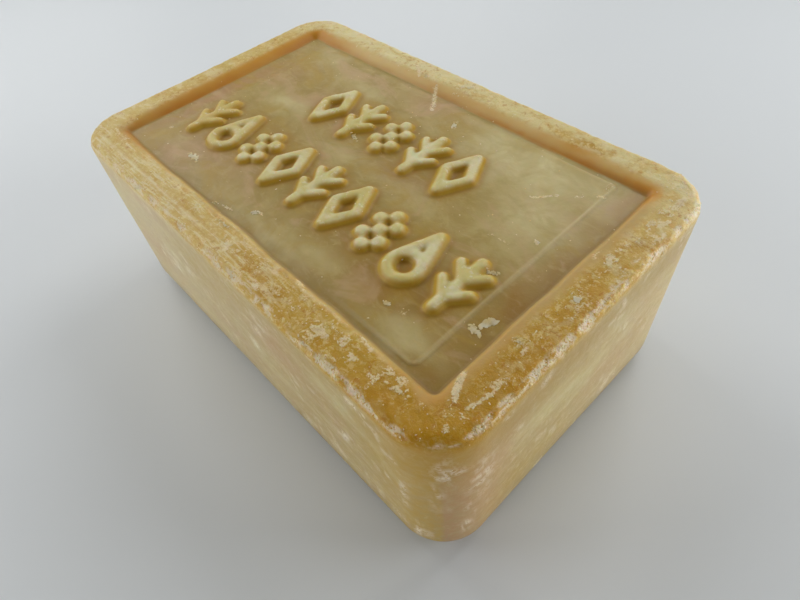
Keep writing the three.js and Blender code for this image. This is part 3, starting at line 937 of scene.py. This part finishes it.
def soap_material():
    """Worn translucent soap, coloured by the masks."""
    g = Graph("soap")
    medium = g.noise(5 * MM, 3, 0.6, distortion=0.6)
    small = g.noise(1.3 * MM, 4, 0.65)
    grain = g.noise(0.3 * MM, 2, 0.6)
    rim, chip, bloom, foot = (g.attribute(name) for name in ("rim", "chip", "bloom", "foot"))

    colour = g.mix(g.attribute("top"), side_colour(g, medium, small), panel_colour(g, medium, small))
    colour = relief_colour(g, colour, medium, small)
    from_back_left = g.distance(BACK_LEFT_CORNER)
    wall = g.mix(g.ramp(from_back_left, 20 * MM, 75 * MM), srgb(212, 162, 62), srgb(200, 171, 106))
    at_back = g.times(g.ramp(g.height_along(1), 17 * MM, 22 * MM),
                      g.ramp(g.height_along(0), -38 * MM, -22 * MM))
    wall = g.mix(at_back, wall, srgb(222, 192, 124))
    wall = g.mix(g.times(g.attribute("amber"), 0.95), wall, srgb(208, 144, 24))
    colour = g.mix(g.attribute("wall"), colour, wall)
    colour = g.mix(rim, colour, rim_colour(g, medium, small))
    # Darker, deeper amber at the foot of the recess wall.
    colour = g.mix(foot, colour, srgb(190, 120, 14))
    # Painted shade in the crease along the near foot of the recess wall.
    colour = g.mix(g.times(g.attribute("crease_shade"), 0.75), colour, srgb(150, 116, 62))
    crusted = g.ramp(g.plus(g.times(grain, 0.8), g.times(bloom, 0.5)), 0.5, 0.7)
    colour = g.mix(g.times(crusted, g.ramp(bloom, 0.05, 0.4), 0.85), colour, srgb(242, 224, 178))
    dust = g.times(chip, g.ramp(grain, 0.32, 0.52))
    colour = g.mix(g.times(dust, 0.95), colour, srgb(242, 228, 196))
    g.feed(g.shader.inputs["Base Color"], colour)

    crust = g.math("MAXIMUM", bloom, chip)
    rough = g.plus(g.ramp(small, 0.3, 0.7, 0.40, 0.52), g.times(crust, 0.2))
    g.feed(g.shader.inputs["Roughness"], rough)
    settings = {"Specular IOR Level": 0.35, "IOR": 1.46, "Coat Weight": 0.06, "Coat Roughness": 0.3,
                "Subsurface Weight": 0.6, "Subsurface Radius": (1.0, 0.55, 0.18),
                "Subsurface Scale": 1.6 * MM}
    for name, value in settings.items():
        g.shader.inputs[name].default_value = value

    grainy = g.plus(0.2, g.times(g.math("MAXIMUM", rim, crust), 0.6))
    height = g.plus(g.times(small, 0.6), g.times(grain, grainy))
    chiselled = g.noise(0.6 * MM, 4, 0.7, distortion=1.0)
    height = g.plus(height, g.times(chiselled, rim, 1.2))
    bump = g.node("ShaderNodeBump", Height=height, Strength=0.6, Distance=0.14 * MM)
    g.feed(g.shader.inputs["Normal"], bump.outputs["Normal"])
    return g.material


def crumb_material():
    """Paler, rougher and drier than the soap."""
    g = Graph("dried_soap")
    tint = g.noise(2 * MM, 2, 0.5)
    colour = g.mix(g.ramp(tint, 0.35, 0.65), srgb(226, 198, 130), srgb(240, 226, 186))
    g.feed(g.shader.inputs["Base Color"], colour)
    g.feed(g.shader.inputs["Roughness"], g.ramp(g.noise(0.3 * MM, 2, 0.5), 0.3, 0.7, 0.5, 0.75))
    g.shader.inputs["Subsurface Weight"].default_value = 0.3
    g.shader.inputs["Subsurface Radius"].default_value = (1.0, 0.7, 0.4)
    g.shader.inputs["Subsurface Scale"].default_value = 0.3 * MM
    return g.material


# ---------------------------------------------------------------- stage

def make_camera():
    camera = bpy.data.objects.new("camera", bpy.data.cameras.new("camera"))
    camera.data.lens = CAMERA_LENS
    camera.data.sensor_width = SENSOR_WIDTH
    camera.data.clip_start = 1 * MM
    camera.location = CAMERA_PLACE
    camera.rotation_euler = [math.radians(angle) for angle in CAMERA_TURN]
    bpy.context.scene.collection.objects.link(camera)
    bpy.context.scene.camera = camera


# The lights don't reach the far floor, so it glows there and the horizon stays pale in low views. The glow
# starts and is full at these distances from the middle of the block's base.
FLOOR_REACH = 6
FLOOR_COLOUR = (0.74, 0.775, 0.79, 1)
FLOOR_GLOW_COLOUR = (0.62, 0.66, 0.68, 1)
FLOOR_GLOW_START = 0.28
FLOOR_GLOW_FULL = 0.5


def make_floor():
    corners = [(x * FLOOR_REACH, y * FLOOR_REACH, 0) for x, y in ((-1, -1), (1, -1), (1, 1), (-1, 1))]
    floor = add_mesh_object("floor", corners, [(0, 1, 2, 3)])
    g = Graph("floor")
    g.shader.inputs["Base Color"].default_value = FLOOR_COLOUR
    g.shader.inputs["Roughness"].default_value = 0.55
    g.shader.inputs["Emission Color"].default_value = FLOOR_GLOW_COLOUR
    glow = g.ramp(g.distance((0, 0, 0)), FLOOR_GLOW_START, FLOOR_GLOW_FULL)
    g.feed(g.shader.inputs["Emission Strength"], glow)
    floor.data.materials.append(g.material)


# Soft lights round the block: direction in degrees anticlockwise from +X, height in degrees, and power in
# watts. The two strongest stand behind the block, as the camera sees it.
LIGHTS = {
    "left_near_low": (225, 20, 0.35),
    "left_low": (180, 20, 0.15),
    "left_high": (180, 45, 0.25),
    "back_left_low": (135, 20, 0.15),
    "back_high": (90, 45, 0.4),
    "back_right_low": (45, 8, 0.7),
    "right_low": (0, 8, 0.15),
    "near_low": (270, 8, 0.3),
}
LIGHT_DISTANCE = 0.35
LIGHT_SIZE = 0.18

# The world gives almost no light, but the camera sees it as a pale backdrop.
WORLD_COLOUR = (0.9, 0.95, 1.0, 1)
WORLD_LIGHT = 0.02
WORLD_SEEN = 0.68


def make_light(name, azimuth, elevation, power):
    """A square soft light, aimed at the middle of the block's top."""
    data = bpy.data.lights.new(name, "AREA")
    data.shape = "SQUARE"
    data.size = LIGHT_SIZE
    data.energy = power
    light = bpy.data.objects.new(name, data)
    around, up = math.radians(azimuth), math.radians(elevation)
    towards = Vector((math.cos(around) * math.cos(up), math.sin(around) * math.cos(up), math.sin(up)))
    light.location = towards * LIGHT_DISTANCE + Vector((0, 0, HEIGHT))
    light.rotation_euler = towards.to_track_quat("Z", "Y").to_euler()
    light.visible_camera = False
    bpy.context.scene.collection.objects.link(light)


def make_lights():
    """The lights round the block, and the world behind it."""
    for name, (azimuth, elevation, power) in LIGHTS.items():
        make_light(name, azimuth, elevation, power)
    world = bpy.data.worlds.new("studio")
    world.use_nodes = True
    tree = world.node_tree
    background = tree.nodes["Background"]
    background.inputs["Color"].default_value = WORLD_COLOUR
    seen = tree.nodes.new("ShaderNodeLightPath").outputs["Is Camera Ray"]
    strength = tree.nodes.new("ShaderNodeMapRange")
    strength.inputs["To Min"].default_value = WORLD_LIGHT
    strength.inputs["To Max"].default_value = WORLD_SEEN
    tree.links.new(seen, strength.inputs["Value"])
    tree.links.new(strength.outputs["Result"], background.inputs["Strength"])
    bpy.context.scene.world = world


make_camera()
make_floor()
make_lights()
bpy.context.scene.view_settings.view_transform = "Standard"

soap, wear_and_painted_light = soap_skin()
soap.data.materials.append(soap_material())
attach(soap, "root")
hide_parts("soap_block", *RELIEF_NODES)

crumbs = soap_crumbs(soap, wear_and_painted_light)
crumbs.data.materials.append(crumb_material())
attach(crumbs, "root")
